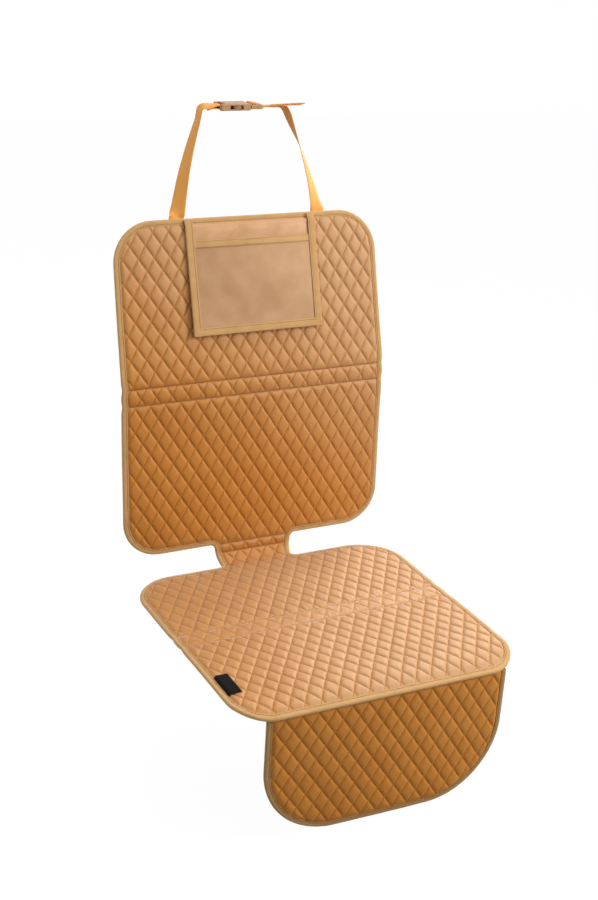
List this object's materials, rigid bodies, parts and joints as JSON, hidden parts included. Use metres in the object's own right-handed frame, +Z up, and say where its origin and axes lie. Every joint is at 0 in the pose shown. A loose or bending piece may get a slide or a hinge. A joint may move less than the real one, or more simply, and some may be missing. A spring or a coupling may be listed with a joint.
{
  "type": "car seat protector mat",
  "caption": "Quilted mat that covers a car seat's back and cushion, with a hanging front flap, a pocket and a buckled headrest strap.",
  "frame": {"origin": "middle of the seat part's length, on the flat underside of its anti-slip backing", "axes": "+X to the right as seen from the front, -Y towards the front flap, +Z up from the seat part"},
  "size_m": [0.4662, 0.5928, 0.9383],
  "materials": {
    "quilted_leather": "matt grained coated leather, quilted in diamonds",
    "backing": "matt anti-slip cloth",
    "tape": "woven binding tape",
    "pocket_cloth": "plain weave cloth",
    "label": "plain black woven label, left bare",
    "webbing": "woven webbing",
    "buckle_plastic": "moulded, satin"
  },
  "bodies": {
    "mat": {"quilted_mat": "quilted_leather", "anti_slip_backing": "backing", "mat_binding": "tape", "flap_panel": "quilted_leather", "flap_lining": "backing", "flap_binding": "tape", "pocket_backing": "pocket_cloth", "pocket_front": "pocket_cloth", "pocket_mouth_tape": "tape", "pocket_tape": "tape", "side_label": "label", "strap_left": "webbing", "buckle_socket": "buckle_plastic"},
    "clip": {"buckle_clip": "buckle_plastic", "strap_right": "webbing"}
  },
  "joints": [
    {"name": "buckle_release", "type": "slide", "parent": "mat", "child": "clip", "axis": [1, 0, 0], "range_m": [0, 0.03]}
  ]
}
